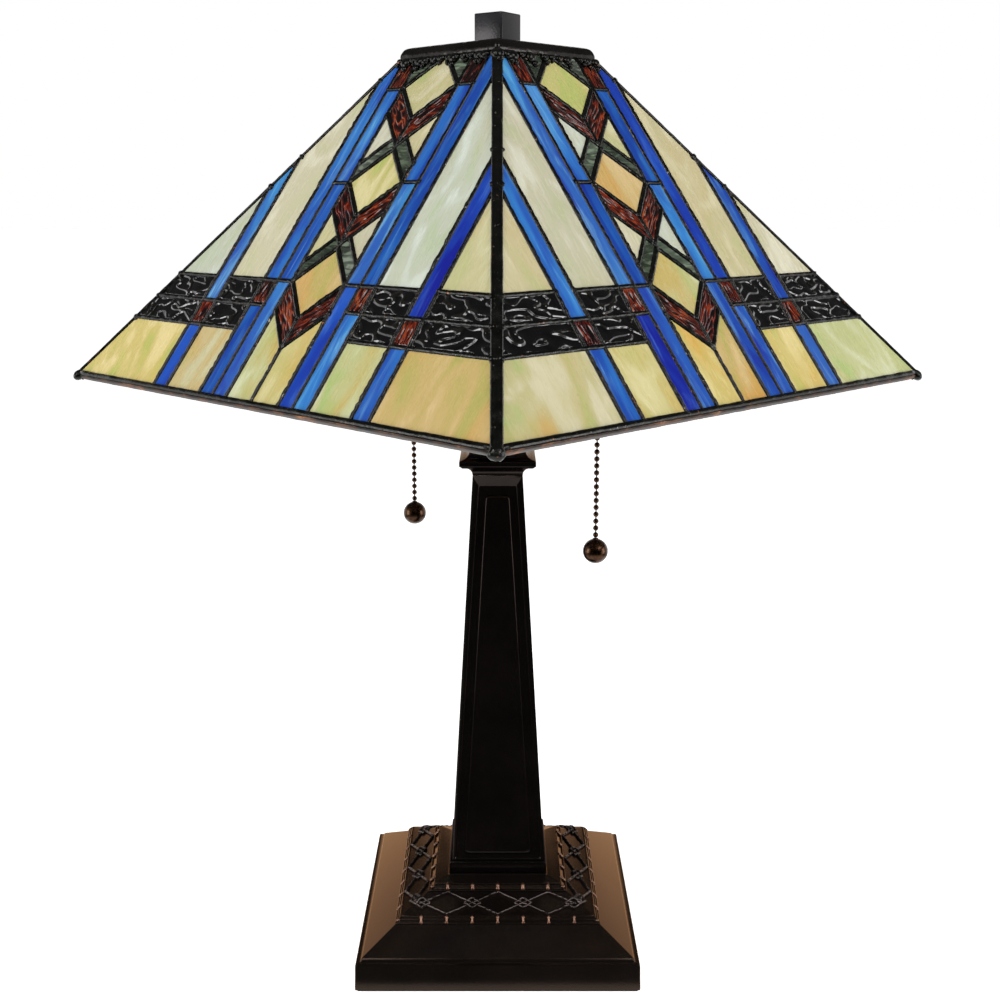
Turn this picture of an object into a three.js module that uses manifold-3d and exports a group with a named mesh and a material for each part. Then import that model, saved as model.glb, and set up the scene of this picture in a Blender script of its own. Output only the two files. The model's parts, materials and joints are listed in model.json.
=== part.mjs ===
// A square stained glass table lamp with two pull chain sockets.
// Millimetres, +Z up. The origin is under the middle of the base, on the surface the lamp stands on.
// The base and the stem stand square to X and Y. The shade is turned 45 degrees, a corner towards -Y.

import * as THREE from 'three';
import { mergeVertices } from 'three/addons/utils/BufferGeometryUtils.js';
import Module from 'manifold-3d';

const wasm = await Module();
wasm.setup();

// Driving dimensions
const GAP = 0.3;                      // air between touching pieces
const RIM_SIDE = 355.6;               // shade, side of the square rim
const RIM_Z = 358.9;                  // height of the rim above the table
const SHADE_RISE = 178;               // from the rim up to the cap's lower edge
const SHADE_TOP_SIDE = 78.7;          // side of the shade where it meets the cap
const GLASS = 3;                      // thickness of the glass
const BASE_HALF = 85;                 // half the width of the base
const BASE_TOP_Z = 48.2;
const COLUMN_FOOT_HALF = 28.9;
const COLUMN_TOP_HALF = 15;
const COLUMN_Z = [56.6, 299.5];
const PIPE_RADIUS = 5;                // threaded lamp pipe
const PIPE_BORE = 3.5;
const PIPE_HOLE = 5.6;
const SOCKET_RADIUS = 47;             // from the lamp's axis to each socket's axis
const SOCKET_ANGLE = 138.9;           // degrees, plan angle of the left socket
const GUIDE_TURN = 4.5;               // degrees that each socket is screwed round towards +X
const CHAIN_REACH = 26.5;             // from a socket's axis out to its hanging chain
const CHAIN_TOP_Z = 398;              // height of the chain guides, where the chains swing
const CHAIN_DIAMETER = 3.2;
const BALL_RADIUS = 7.25;
const BALL_Z = 261.7;
const CAP_TOP_Z = 544.2;
const FINIAL_TOP_Z = 562.5;
const FINIAL_HALF = 9.5;
const FINIAL_TURN = -35.3;            // degrees from the base's sides

// Worked out from them
const rimHalf = RIM_SIDE / 2;
const topHalf = SHADE_TOP_SIDE / 2;
const shadeRun = rimHalf - topHalf;
const slant = Math.hypot(SHADE_RISE, shadeRun);
const taper = shadeRun / slant;       // half width lost for each millimetre up the slope
const capZ = RIM_Z + SHADE_RISE;
const rad = THREE.MathUtils.degToRad;

function finish(color, roughness, metalness) {
  return new THREE.MeshStandardMaterial({ color, roughness, metalness });
}

const bronze = finish(0x1c1512, 0.38, 0.7);
const patina = finish(0x16150f, 0.35, 0.6);
const brass = finish(0xb8924a, 0.3, 0.9);
const steel = finish(0x9a9a98, 0.35, 0.9);
const castIron = finish(0x3a3a3c, 0.8, 0.5);
const felt = finish(0x23231f, 0.95, 0);
const blackPlastic = finish(0x121212, 0.5, 0);
const insulator = finish(0xd9d2c2, 0.8, 0);
const artGlass = finish(0xcfc79a, 0.2, 0);
const bulbWhite = finish(0xf2efe6, 0.25, 0);

const lamp = new THREE.Group();

function add(name, geometry, material, parent = lamp) {
  const mesh = new THREE.Mesh(geometry, material);
  mesh.name = name;
  parent.add(mesh);
  return mesh;
}

// Joining and cutting
function toSolid(geometry) {
  const bare = geometry.index ? geometry.toNonIndexed() : geometry.clone();
  bare.deleteAttribute('normal');
  bare.deleteAttribute('uv');
  const merged = mergeVertices(bare, 1e-4);
  return new wasm.Manifold(new wasm.Mesh({
    numProp: 3,
    vertProperties: new Float32Array(merged.attributes.position.array),
    triVerts: new Uint32Array(merged.index.array),
  }));
}

function toGeometry(solid) {
  const { vertProperties, triVerts } = solid.getMesh();
  const geometry = new THREE.BufferGeometry();
  geometry.setAttribute('position', new THREE.BufferAttribute(vertProperties, 3));
  geometry.setIndex(new THREE.BufferAttribute(triVerts, 1));
  geometry.computeVertexNormals();
  return geometry;
}

function cut(geometry, ...tools) {
  return toGeometry(tools.reduce((rest, tool) => rest.subtract(toSolid(tool)), toSolid(geometry)));
}

function join(...geometries) {
  return toGeometry(geometries.map(toSolid).reduce((all, one) => all.add(one)));
}

// Basic shapes. A profile is a list of [radius, z], anticlockwise with the radius to the right.
function turned(profile, sides = 16, start = 0) {
  const points = profile.map(([radius, z]) => new THREE.Vector2(radius, z));
  return new THREE.LatheGeometry(points, sides, start).rotateX(Math.PI / 2);
}

function squareTurned(profile) {
  return turned(profile.map(([half, z]) => [half * Math.SQRT2, z]), 4, Math.PI / 4);
}

function tube(outer, inner, low, high, sides = 16) {
  return turned([[inner, low], [outer, low], [outer, high], [inner, high], [inner, low]], sides);
}

function rod(radius, low, high, sides = 20) {
  return turned([[0, low], [radius, low], [radius, high], [0, high]], sides);
}

function polygon(points) {
  return new THREE.Shape(points.map(([x, y]) => new THREE.Vector2(x, y)));
}

function prism(shape, depth, low = 0) {
  return new THREE.ExtrudeGeometry(shape, { depth, bevelEnabled: false }).translate(0, 0, low);
}

function place(group, xAxis, yAxis, zAxis, origin) {
  const axes = [xAxis, yAxis, zAxis].map((axis) => new THREE.Vector3(...axis));
  group.applyMatrix4(new THREE.Matrix4().makeBasis(...axes).setPosition(...origin));
  return group;
}

function turnedGroup(degrees) {
  const group = new THREE.Group();
  group.rotation.z = rad(degrees);
  lamp.add(group);
  return group;
}

// Base: a hollow stepped casting, its weight, the nut that holds the pipe, the felt and the cord inlet
const FELT_TOP = 1.2;
const SHELL_LOW = FELT_TOP + GAP;
const INLET_Z = 9.5;
const INLET_RADIUS = 4.5;

const SHELL_ROOF = 43.6;              // underside of the casting's flat top

function baseShell() {
  const outside = squareTurned([
    [0, SHELL_LOW], [BASE_HALF, SHELL_LOW], [84.5, 17.6], [81.6, 18], [80.9, 20.2], [62, 31.3],
    [61, 33.6], [58.5, 35.4], [42.4, 42.9], [40.8, 45], [38.8, 46.4], [30.5, BASE_TOP_Z], [0, BASE_TOP_Z],
  ]);
  const hollow = squareTurned([
    [0, -1], [81, -1], [81, 15], [77, 17.6], [58, 29.2], [55, 32.8], [36, 42.4], [34, SHELL_ROOF],
    [0, SHELL_ROOF],
  ]);
  const pipeHole = rod(PIPE_HOLE, SHELL_ROOF - 3, BASE_TOP_Z + 3);
  const inlet = rod(INLET_RADIUS, BASE_HALF - 7, BASE_HALF + 5, 16);
  return cut(outside, hollow, pipeHole, inlet.rotateX(-Math.PI / 2).translate(0, 0, INLET_Z));
}

function makeBase() {
  add('base_felt', squareTurned([[0, 0], [83.5, 0], [83.5, FELT_TOP], [0, FELT_TOP]]), felt);
  add('base_shell', baseShell(), bronze);
  const weight = squareTurned([
    [0, 18], [52, 18], [52, 30], [14, 31], [14, SHELL_ROOF - GAP], [0, SHELL_ROOF - GAP],
  ]);
  add('base_weight', cut(weight, rod(PIPE_HOLE, 10, 50)), castIron);
  add('base_washer', tube(14, PIPE_HOLE, 15.7, 17.7, 20), steel);
  add('base_locknut', cut(rod(9.5, 9.4, 15.4, 6), rod(PIPE_HOLE, 5, 20)), brass);
  const rimLow = BASE_HALF + GAP;
  const rimHigh = BASE_HALF + 2;
  const bushing = turned([
    [3, 79], [4.2, 79], [4.2, rimLow], [6.5, rimLow], [6, rimHigh], [3, rimHigh], [3, 79],
  ]);
  add('cord_bushing', bushing.rotateX(-Math.PI / 2).translate(0, 0, INLET_Z), blackPlastic);
}

// Stem: a square foot, a tapered hollow column with a sunk panel on each face, and a flared capital
const PANEL_DEPTH = 1;
const FOOT_HALF = 30.4;
const FOOT_TOP_Z = COLUMN_Z[0] - GAP;
const CAPITAL_TOP_Z = 319;

function roundedTaper(lowHalf, highHalf, low, high, corner) {
  const shape = new THREE.Shape();
  shape.moveTo(-lowHalf + corner, low);
  shape.lineTo(lowHalf - corner, low);
  shape.quadraticCurveTo(lowHalf, low, lowHalf, low + corner);
  shape.lineTo(highHalf, high - corner);
  shape.quadraticCurveTo(highHalf, high, highHalf - corner, high);
  shape.lineTo(-highHalf + corner, high);
  shape.quadraticCurveTo(-highHalf, high, -highHalf, high - corner);
  shape.lineTo(-lowHalf, low + corner);
  shape.quadraticCurveTo(-lowHalf, low, -lowHalf + corner, low);
  return shape;
}

function sunkFrame(side) {
  const [low, high] = COLUMN_Z;
  const height = high - low;
  const frame = polygon([[-27, 1], [27, 1], [11.4, height - 7.5], [-11.4, height - 7.5]]);
  frame.holes.push(new THREE.Path(roundedTaper(20.5, 7.3, 6, height - 15.5, 3).getPoints(3)));
  const lean = Math.atan2(COLUMN_FOOT_HALF - COLUMN_TOP_HALF, height);
  return prism(frame, 5, -PANEL_DEPTH)
    .rotateX(Math.PI / 2 - lean)
    .translate(0, -COLUMN_FOOT_HALF, low)
    .rotateZ(side * Math.PI / 2);
}

function makeStem() {
  const [low, high] = COLUMN_Z;
  const footLow = BASE_TOP_Z + GAP;
  const foot = squareTurned([
    [0, footLow], [FOOT_HALF, footLow], [FOOT_HALF, FOOT_TOP_Z - 1],
    [FOOT_HALF - 0.8, FOOT_TOP_Z], [0, FOOT_TOP_Z],
  ]);
  add('stem_foot', cut(foot, rod(PIPE_HOLE, footLow - 5, FOOT_TOP_Z + 5)), bronze);
  const outside = squareTurned([[0, low], [COLUMN_FOOT_HALF, low], [COLUMN_TOP_HALF, high], [0, high]]);
  const hollow = squareTurned([[0, low - 1], [25.4, low - 1], [11.9, high - 5], [0, high - 5]]);
  const frames = [0, 1, 2, 3].map(sunkFrame);
  add('stem_column', cut(outside, hollow, rod(PIPE_HOLE, high - 10, high + 10), ...frames), bronze);
  const capital = squareTurned([
    [0, high + GAP], [15.2, high + GAP], [16, 302.6], [18.4, 305], [22.8, 306.1],
    [22.8, 309.6], [7, CAPITAL_TOP_Z], [0, CAPITAL_TOP_Z],
  ]);
  add('stem_capital', cut(capital, rod(PIPE_HOLE, high - 5, CAPITAL_TOP_Z + 5)), bronze);
}

// Pipes and the two-light cluster
const CLUSTER_Z = 350;
const ARM_RADIUS = 4;
const SEAT_Z = 527.3;

function makeCluster() {
  add('lamp_pipe', tube(PIPE_RADIUS, PIPE_BORE, 7, 345), steel);
  add('capital_nut', cut(rod(9, CAPITAL_TOP_Z + GAP, 324.5, 6), rod(PIPE_HOLE, 310, 330)), brass);
  const body = turned([
    [0, 336], [8, 336], [14, 339], [15.5, 343], [15.5, 357], [14, 361], [8, 364], [0, 364],
  ], 20);
  const inside = rod(11.5, 341, 359, 16);
  const sidePorts = rod(ARM_RADIUS + 0.4, -30, 30, 12).rotateY(Math.PI / 2).rotateZ(rad(SOCKET_ANGLE));
  sidePorts.translate(0, 0, CLUSTER_Z);
  add('cluster_body', cut(body, inside, rod(PIPE_HOLE, 330, 370), sidePorts), bronze);
  add('riser_pipe', tube(PIPE_RADIUS, PIPE_BORE, 355, 555), steel);
  add('shade_seat_nut', cut(rod(8.5, 520, SEAT_Z - GAP, 6), rod(PIPE_HOLE, 510, 530)), brass);
  add('shade_seat', tube(15, PIPE_HOLE, SEAT_Z, SEAT_Z + 2, 20), steel);
}

// One socket with its arm, bulb, pull link and chain, built along +X and turned to its plan angle
function armPath() {
  const bend = 13;
  const corner = Array.from({ length: 5 }, (_, i) => {
    const angle = i / 4 * Math.PI / 2;
    return [SOCKET_RADIUS - bend + bend * Math.sin(angle), CLUSTER_Z + bend - bend * Math.cos(angle)];
  });
  const route = [[12.2, CLUSTER_Z], [26, CLUSTER_Z], ...corner, [SOCKET_RADIUS, 375]];
  const points = route.map(([x, z]) => new THREE.Vector3(x, 0, z));
  return new THREE.CatmullRomCurve3(points, false, 'centripetal');
}

function hollowArm() {
  const section = new THREE.Shape().absarc(0, 0, ARM_RADIUS, 0, 2 * Math.PI);
  section.holes.push(new THREE.Path().absarc(0, 0, 2.8, 0, 2 * Math.PI, true));
  const settings = { steps: 12, curveSegments: 4, bevelEnabled: false, extrudePath: armPath() };
  return new THREE.ExtrudeGeometry(section, settings);
}

function socketShell() {
  const shell = tube(17.2, 16.3, 390 + GAP, 432);
  return cut(shell, rod(3.6, 10, 25, 10).rotateY(Math.PI / 2).translate(0, 0, CHAIN_TOP_Z));
}

function bulbGlass() {
  const low = 429.3;
  const thickness = 1;
  const outside = [
    [12.5, low], [13.5, 438], [18, 448], [22.8, 458], [24, 469],
    [22, 480], [16.5, 489], [8, 493.6], [0, 494.7],
  ];
  const inside = outside.map(([radius, z]) => [Math.max(0, radius - thickness), z - thickness]);
  return cut(turned([[0, low], ...outside]), turned([[0, low - 4], [11.5, low - 4], ...inside]));
}

// The chain's link ends in a dome about the height where the chain swings, so that the chain clears it
function pullLink() {
  const radius = 1.8;
  const dome = 2.6;
  const start = Math.asin(radius / dome);
  const round = [0, 1, 2, 3, 4].map((i) => {
    const angle = start * i / 4;
    return [dome * Math.sin(angle), CHAIN_TOP_Z - dome * Math.cos(angle)];
  });
  return turned([...round, [radius, CHAIN_TOP_Z + 2.2], [0, CHAIN_TOP_Z + 2.2]], 12);
}

// The chain is drawn as one plain rod with the ball at its end
function makeChain(side, parent) {
  const chain = new THREE.Group();
  chain.position.x = CHAIN_REACH;
  parent.add(chain);
  add(`pull_link_${side}`, pullLink(), brass, chain);
  const low = BALL_Z + BALL_RADIUS + GAP;
  const high = CHAIN_TOP_Z - 2.6 - GAP;
  const round = new THREE.Shape().absarc(0, 0, CHAIN_DIAMETER / 2, 0, 2 * Math.PI);
  const settings = { depth: high - low, steps: 16, curveSegments: 4, bevelEnabled: false };
  const links = new THREE.ExtrudeGeometry(round, settings).translate(0, 0, low);
  add(`pull_chain_${side}`, links, bronze, chain);
  const ball = new THREE.SphereGeometry(BALL_RADIUS, 14, 9).rotateX(Math.PI / 2).translate(0, 0, BALL_Z);
  add(`pull_ball_${side}`, ball, bronze, chain);
}

function makeSocket(side, angle, turn) {
  const spoke = turnedGroup(angle);
  add(`arm_${side}`, hollowArm(), bronze, spoke);
  const socket = new THREE.Group();
  socket.position.x = SOCKET_RADIUS;
  socket.rotation.z = rad(turn);
  spoke.add(socket);

  const cup = turned([
    [4.4, 371.5], [8, 371.5], [9, 374], [14.5, 376.5], [16.5, 380.5], [16.5, 390], [15.4, 390],
    [15.4, 381], [13.6, 378], [4.4, 376], [4.4, 371.5],
  ]);
  add(`socket_cap_${side}`, cup, brass, socket);
  add(`socket_switch_${side}`, rod(13, 382, 396, 16), blackPlastic, socket);
  add(`socket_shell_${side}`, socketShell(), brass, socket);
  add(`socket_liner_${side}`, tube(16, 15.3, 403, 430), insulator, socket);
  const screwShell = turned([
    [10, 402], [14.8, 402], [14.8, 426], [14, 426], [14, 402.8], [10, 402.8], [10, 402],
  ]);
  add(`socket_screw_shell_${side}`, screwShell, brass, socket);
  const contact = new THREE.BoxGeometry(9, 4, 0.8).translate(0, 0, 399);
  add(`socket_contact_${side}`, contact, brass, socket);
  const guide = turned([
    [2, 14.5], [3.2, 14.5], [3.2, 20.5], [4.9, 23.4], [4.9, 24.1], [3.4, 24.1], [2, 21], [2, 14.5],
  ], 12);
  add(`chain_guide_${side}`, guide.rotateY(Math.PI / 2).translate(0, 0, CHAIN_TOP_Z), brass, socket);

  const base = turned([
    [0, 400.2], [3.5, 400.2], [4.5, 401.6], [9.5, 404], [13.2, 406.5], [13.2, 425.5], [13.6, 429], [0, 429],
  ]);
  add(`bulb_base_${side}`, base, steel, socket);
  add(`bulb_glass_${side}`, bulbGlass(), bulbWhite, socket);

  makeChain(side, socket);
}

// Leaded panel pattern, drawn on the panel's face: u across from its centreline, v up the slope.
// Each bound is [a, b, d, lead], for a*u + b*v <= d with half the lead's width taken off.
const HALF_LEAD = 1.4;
const NARROW_LEAD = 1;
const DIAMOND_LEAD = 1.75;
const COLUMNS = [22.5, 34.8, 47.3, 80, 93];
const ROWS = [43, 59, 75];
const DIAMOND_PITCH = 64.8;
const DIAMONDS = [0, 1, 2].map((i) => ROWS[2] + i * DIAMOND_PITCH);
const DIAMOND_HALF = 22;
const CHEVRON_DROP = 18.5;
const ROOF_RISE = 12.5;
const HIP_COVER = 5.2;
const RIM_COVER = 3.8;
const TOP_COVER = 0.7;
const DIAGONAL = Math.SQRT1_2;

const leftOf = (u, lead = HALF_LEAD) => [1, 0, u, lead];
const rightOf = (u, lead = HALF_LEAD) => [-1, 0, -u, lead];
const under = (v, lead = HALF_LEAD) => [0, 1, v, lead];
const over = (v, lead = HALF_LEAD) => [0, -1, -v, lead];
const underRising = (v, lead = HALF_LEAD) => [-DIAGONAL, DIAGONAL, v * DIAGONAL, lead];
const overRising = (v, lead = HALF_LEAD) => [DIAGONAL, -DIAGONAL, -v * DIAGONAL, lead];
const underFalling = (v, lead = HALF_LEAD) => [DIAGONAL, DIAGONAL, v * DIAGONAL, lead];
const overFalling = (v, lead = HALF_LEAD) => [-DIAGONAL, -DIAGONAL, -v * DIAGONAL, lead];

function clip(points, [a, b, d, lead]) {
  const depth = points.map(([u, v]) => a * u + b * v - d + lead);
  return points.flatMap((point, i) => {
    const next = (i + 1) % points.length;
    const kept = depth[i] <= 0 ? [point] : [];
    if (depth[i] > 0 === depth[next] > 0) return kept;
    const share = depth[i] / (depth[i] - depth[next]);
    return [...kept, point.map((value, axis) => value + share * (points[next][axis] - value))];
  });
}

function panelOutline() {
  const half = (v) => rimHalf - v * taper - HIP_COVER;
  const top = slant - TOP_COVER;
  return [[-half(RIM_COVER), RIM_COVER], [half(RIM_COVER), RIM_COVER], [half(top), top], [-half(top), top]];
}

function glassOutline() {
  const border = 1.2;
  const hip = Math.hypot(1, taper);
  const reach = (rimHalf - HIP_COVER) / hip;
  const hips = [[1 / hip, taper / hip, reach, border], [-1 / hip, taper / hip, reach, border]];
  const ends = [[0, -1, -RIM_COVER, border], [0, 1, slant - TOP_COVER, border]];
  return [...hips, ...ends].reduce(clip, panelOutline());
}

// The right half of the pattern, as the bounds of each piece of glass
function halfPattern() {
  const [a, b, c, d, e] = COLUMNS;
  const [low, middle, high] = ROWS;
  const cells = [];
  const column = (left, right, stops) => {
    stops.slice(0, -1).forEach((start, i) => {
      cells.push([...left, ...right, over(start), under(stops[i + 1])]);
    });
  };
  const far = slant + 10;
  column([rightOf(a)], [leftOf(b, NARROW_LEAD)], [0, DIAMONDS[0], DIAMONDS[1], DIAMONDS[2], far]);
  column([rightOf(b, NARROW_LEAD)], [leftOf(c)], [0, middle, high, far]);
  column([rightOf(c)], [leftOf(d)], [0, low, middle, high, far]);
  column([rightOf(d)], [leftOf(e)], [0, low, middle, far]);
  column([rightOf(e)], [], [0, low, middle, high, far]);

  const strip = [rightOf(0), leftOf(a)];
  const tips = DIAMONDS.map((centre) => centre - DIAMOND_HALF - CHEVRON_DROP);
  cells.push([...strip, over(0), underRising(tips[0])]);
  DIAMONDS.forEach((centre, i) => {
    cells.push([...strip, overRising(tips[i]), underRising(centre - DIAMOND_HALF, DIAMOND_LEAD)]);
    const roof = [...strip, overFalling(centre + DIAMOND_HALF, DIAMOND_LEAD)];
    if (i === DIAMONDS.length - 1) {
      cells.push(roof);
      return;
    }
    const eaves = centre + DIAMOND_HALF + ROOF_RISE;
    cells.push([...roof, underFalling(eaves), underRising(tips[i + 1])]);
    cells.push([leftOf(a), overFalling(eaves), underRising(tips[i + 1])]);
  });
  return cells;
}

function mirrored(bounds) {
  return bounds.map(([a, b, d, lead]) => [-a, b, d, lead]);
}

function diamond(centre) {
  const right = [underRising(centre + DIAMOND_HALF), underFalling(centre + DIAMOND_HALF)];
  const left = [overRising(centre - DIAMOND_HALF), overFalling(centre - DIAMOND_HALF)];
  return [...right, ...left].map(([a, b, d]) => [a, b, d, DIAMOND_LEAD]);
}

function withoutShortEdges(points) {
  const shortest = 0.3;
  return points.filter(([u, v], i) => {
    const [nextU, nextV] = points[(i + 1) % points.length];
    return Math.hypot(nextU - u, nextV - v) > shortest;
  });
}

function cameLattice() {
  const half = halfPattern();
  const cells = [...half, ...half.map(mirrored), ...DIAMONDS.map(diamond)];
  const windows = cells.map((bounds) => withoutShortEdges(bounds.reduce(clip, glassOutline())));
  const raised = 1.3;
  const sheet = prism(polygon(panelOutline()), raised, GAP);
  return cut(sheet, ...windows.map((points) => prism(polygon(points), 3 * raised, GAP - raised)));
}

function glassPlate() {
  const inset = 2.8;
  const low = 1.6;
  const high = slant - TOP_COVER;
  const half = (v) => rimHalf - v * taper - inset;
  const plate = polygon([[-half(low), low], [half(low), low], [half(high), high], [-half(high), high]]);
  return prism(plate, GLASS, -GLASS);
}

// The rim is a channel round the glass, drawn across (v, outward) and run along the edge
function rimChannel() {
  const [low, web, high] = [-1.2, 1.2, 3.3];
  const [back, backInner, front] = [-GLASS - 1.4, -GLASS - GAP, 1.4];
  const section = polygon([
    [low, back], [high, back], [high, backInner], [web, backInner],
    [web, GAP], [high, GAP], [high, front], [low, front],
  ]);
  const cornerRoom = 6.5;
  const length = 2 * (rimHalf - cornerRoom);
  const geometry = prism(section, length, -length / 2);
  return geometry.applyMatrix4(new THREE.Matrix4().makeBasis(
    new THREE.Vector3(0, 1, 0), new THREE.Vector3(0, 0, 1), new THREE.Vector3(1, 0, 0),
  ));
}

// A hip strip folds over the ridge between two panels and ends in a round drop of solder at the rim
function hipStrip(fold, length) {
  const half = 3.3;
  const flatHalf = 2.2;
  const edge = -0.3;
  const height = 1.2;
  const underside = 0.4;
  const section = polygon([
    [0, underside], [half, underside - half * fold], [half, edge], [flatHalf, height],
    [-flatHalf, height], [-half, edge], [-half, underside - half * fold],
  ]);
  const capRoom = 2;
  const bead = new THREE.SphereGeometry(4, 10, 7).translate(0, 0, 0.5);
  return join(prism(section, length - capRoom), bead);
}

function sheetCap() {
  const low = capZ - 0.2;
  const high = CAP_TOP_Z;
  const half = topHalf + 0.05;
  const sheet = 1.8;
  const cap = squareTurned([
    [0, high - sheet], [half - 5.6, high - sheet], [half - sheet, low],
    [half, low], [half - 3.8, high], [0, high],
  ]);
  return cut(cap, rod(PIPE_HOLE, high - 14, high + 6));
}

function squareFinial() {
  const low = CAP_TOP_Z + GAP;
  const edge = 1;
  const shape = squareTurned([
    [0, low], [FINIAL_HALF, low], [FINIAL_HALF, FINIAL_TOP_Z - edge], [FINIAL_HALF - edge, FINIAL_TOP_Z],
    [0, FINIAL_TOP_Z],
  ]);
  return cut(shape, rod(PIPE_HOLE, low - 4, low + 12.5));
}

function makeShade() {
  const up = [-shadeRun / slant, 0, SHADE_RISE / slant];
  const out = [SHADE_RISE / slant, 0, shadeRun / slant];
  const hipRun = shadeRun * Math.SQRT2;
  const hipLength = Math.hypot(SHADE_RISE, hipRun);
  const hipUp = [-hipRun / hipLength, 0, SHADE_RISE / hipLength];
  const hipOut = [SHADE_RISE / hipLength, 0, hipRun / hipLength];
  const cosine = out[0] * hipOut[0] * DIAGONAL + out[2] * hipOut[2];
  const fold = Math.tan(Math.acos(cosine));
  ['right_back', 'left_back', 'left_front', 'right_front'].forEach((side, i) => {
    const panel = place(new THREE.Group(), [0, 1, 0], up, out, [rimHalf, 0, RIM_Z]);
    turnedGroup(45 + 90 * i).add(panel);
    add(`glass_panel_${side}`, glassPlate(), artGlass, panel);
    add(`came_lattice_${side}`, cameLattice(), patina, panel);
    add(`rim_came_${side}`, rimChannel(), patina, panel);
  });
  ['right', 'back', 'left', 'front'].forEach((side, i) => {
    const corner = [rimHalf * Math.SQRT2, 0, RIM_Z];
    const hip = place(new THREE.Group(), [0, -1, 0], hipOut, hipUp, corner);
    turnedGroup(90 * i).add(hip);
    add(`hip_came_${side}`, hipStrip(fold, hipLength), patina, hip);
  });

  const shadeTop = turnedGroup(45);
  add('shade_cap', sheetCap(), patina, shadeTop);
  const barHeight = 2;
  const barLow = SEAT_Z + 2 + GAP;
  const bar = new THREE.BoxGeometry(74, 12, barHeight).translate(0, 0, barLow + barHeight / 2);
  add('shade_crossbar', cut(bar, rod(PIPE_HOLE, barLow - 5, barLow + 5)), brass, shadeTop);
  add('finial', squareFinial(), bronze, turnedGroup(FINIAL_TURN));
}

makeBase();
makeStem();
makeCluster();
makeSocket('left', SOCKET_ANGLE, -GUIDE_TURN);
makeSocket('right', SOCKET_ANGLE - 180, GUIDE_TURN);
makeShade();

export default lamp;
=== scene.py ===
"""A square stained glass table lamp: how it looks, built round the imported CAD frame.

Lengths are metres, and MM turns a size in millimetres into metres. The leaded panels, the hips and the cast
ornament are drawn in millimetres on their own sloping faces: across, up the slope, and outward.
"""

import json
from math import ceil, copysign, cos, dist, hypot, pi, radians, sin, sqrt

import bpy
from mathutils import Matrix, Vector, noise


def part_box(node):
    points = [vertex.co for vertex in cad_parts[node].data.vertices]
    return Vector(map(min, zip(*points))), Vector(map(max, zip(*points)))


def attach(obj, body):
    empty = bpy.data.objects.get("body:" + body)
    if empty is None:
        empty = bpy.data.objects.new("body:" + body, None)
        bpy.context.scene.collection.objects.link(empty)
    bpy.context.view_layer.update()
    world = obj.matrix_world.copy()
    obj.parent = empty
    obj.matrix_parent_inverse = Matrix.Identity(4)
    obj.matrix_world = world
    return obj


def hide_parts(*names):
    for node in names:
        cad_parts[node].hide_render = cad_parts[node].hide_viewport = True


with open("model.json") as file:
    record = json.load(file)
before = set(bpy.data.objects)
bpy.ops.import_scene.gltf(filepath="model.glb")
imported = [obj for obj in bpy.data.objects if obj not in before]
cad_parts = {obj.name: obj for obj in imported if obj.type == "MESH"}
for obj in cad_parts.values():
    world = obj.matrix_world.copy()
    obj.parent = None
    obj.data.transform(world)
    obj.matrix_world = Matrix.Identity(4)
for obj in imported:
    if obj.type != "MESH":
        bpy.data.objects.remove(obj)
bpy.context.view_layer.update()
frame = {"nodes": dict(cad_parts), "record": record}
MM = 0.001


def low(node):
    return Vector(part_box(node)[0])


def high(node):
    return Vector(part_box(node)[1])


def span(node):
    """The heights of a node's lowest and highest points, in millimetres."""
    return low(node).z / MM, high(node).z / MM


def wave(x, y, z):
    """Smooth noise between -1 and 1."""
    return noise.noise(Vector((x, y, z)))


def around(sides):
    """The angles of points spaced evenly round a circle."""
    return [2 * pi * i / sides for i in range(sides)]


# The outer faces of the glass, from the rim up to the opening at the top: the sizes that drive the shade
RIM_HALF_DIAGONAL = 251.45 * MM
RIM_HALF = RIM_HALF_DIAGONAL / sqrt(2)
RIM_Z = 358.9 * MM
SHADE_RISE = 178.0 * MM
SHADE_TOP_HALF = 39.35 * MM
SHADE_RUN = RIM_HALF - SHADE_TOP_HALF
SLANT = hypot(SHADE_RISE, SHADE_RUN)


# ---- camera, lights and floor

def add_object(name, data):
    item = bpy.data.objects.new(name, data)
    bpy.context.collection.objects.link(item)
    return item


def add_camera():
    tilt_down = 12.73
    data = bpy.data.cameras.new("camera")
    data.sensor_width = 36
    data.lens = 48.18
    data.clip_start = 0.01
    camera = add_object("camera", data)
    camera.location = (0.0014, -0.797, 0.4614)
    camera.rotation_euler = (radians(90 - tilt_down), 0, 0)
    bpy.context.scene.camera = camera


LAMP_MIDDLE = Vector((0, 0, 0.35))
# What shows in reflections, from straight down (0) to straight up (1), as (position, brightness)
REFLECTED_BAND = (
    (0.0, 0.9), (0.24, 0.9), (0.28, 0.2), (0.36, 0.8), (0.45, 1.0), (0.64, 1.0), (0.69, 0.05), (0.88, 0.05),
    (1.0, 0.16),
)


def add_area_light(name, place, size, power):
    """A rectangle of light that faces the middle of the lamp."""
    data = bpy.data.lights.new(name, "AREA")
    data.shape = "RECTANGLE"
    data.size, data.size_y = size
    data.energy = power
    light = add_object(name, data)
    light.location = place
    aim = LAMP_MIDDLE - Vector(place)
    light.rotation_euler = aim.to_track_quat("-Z", "Y").to_euler()


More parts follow.
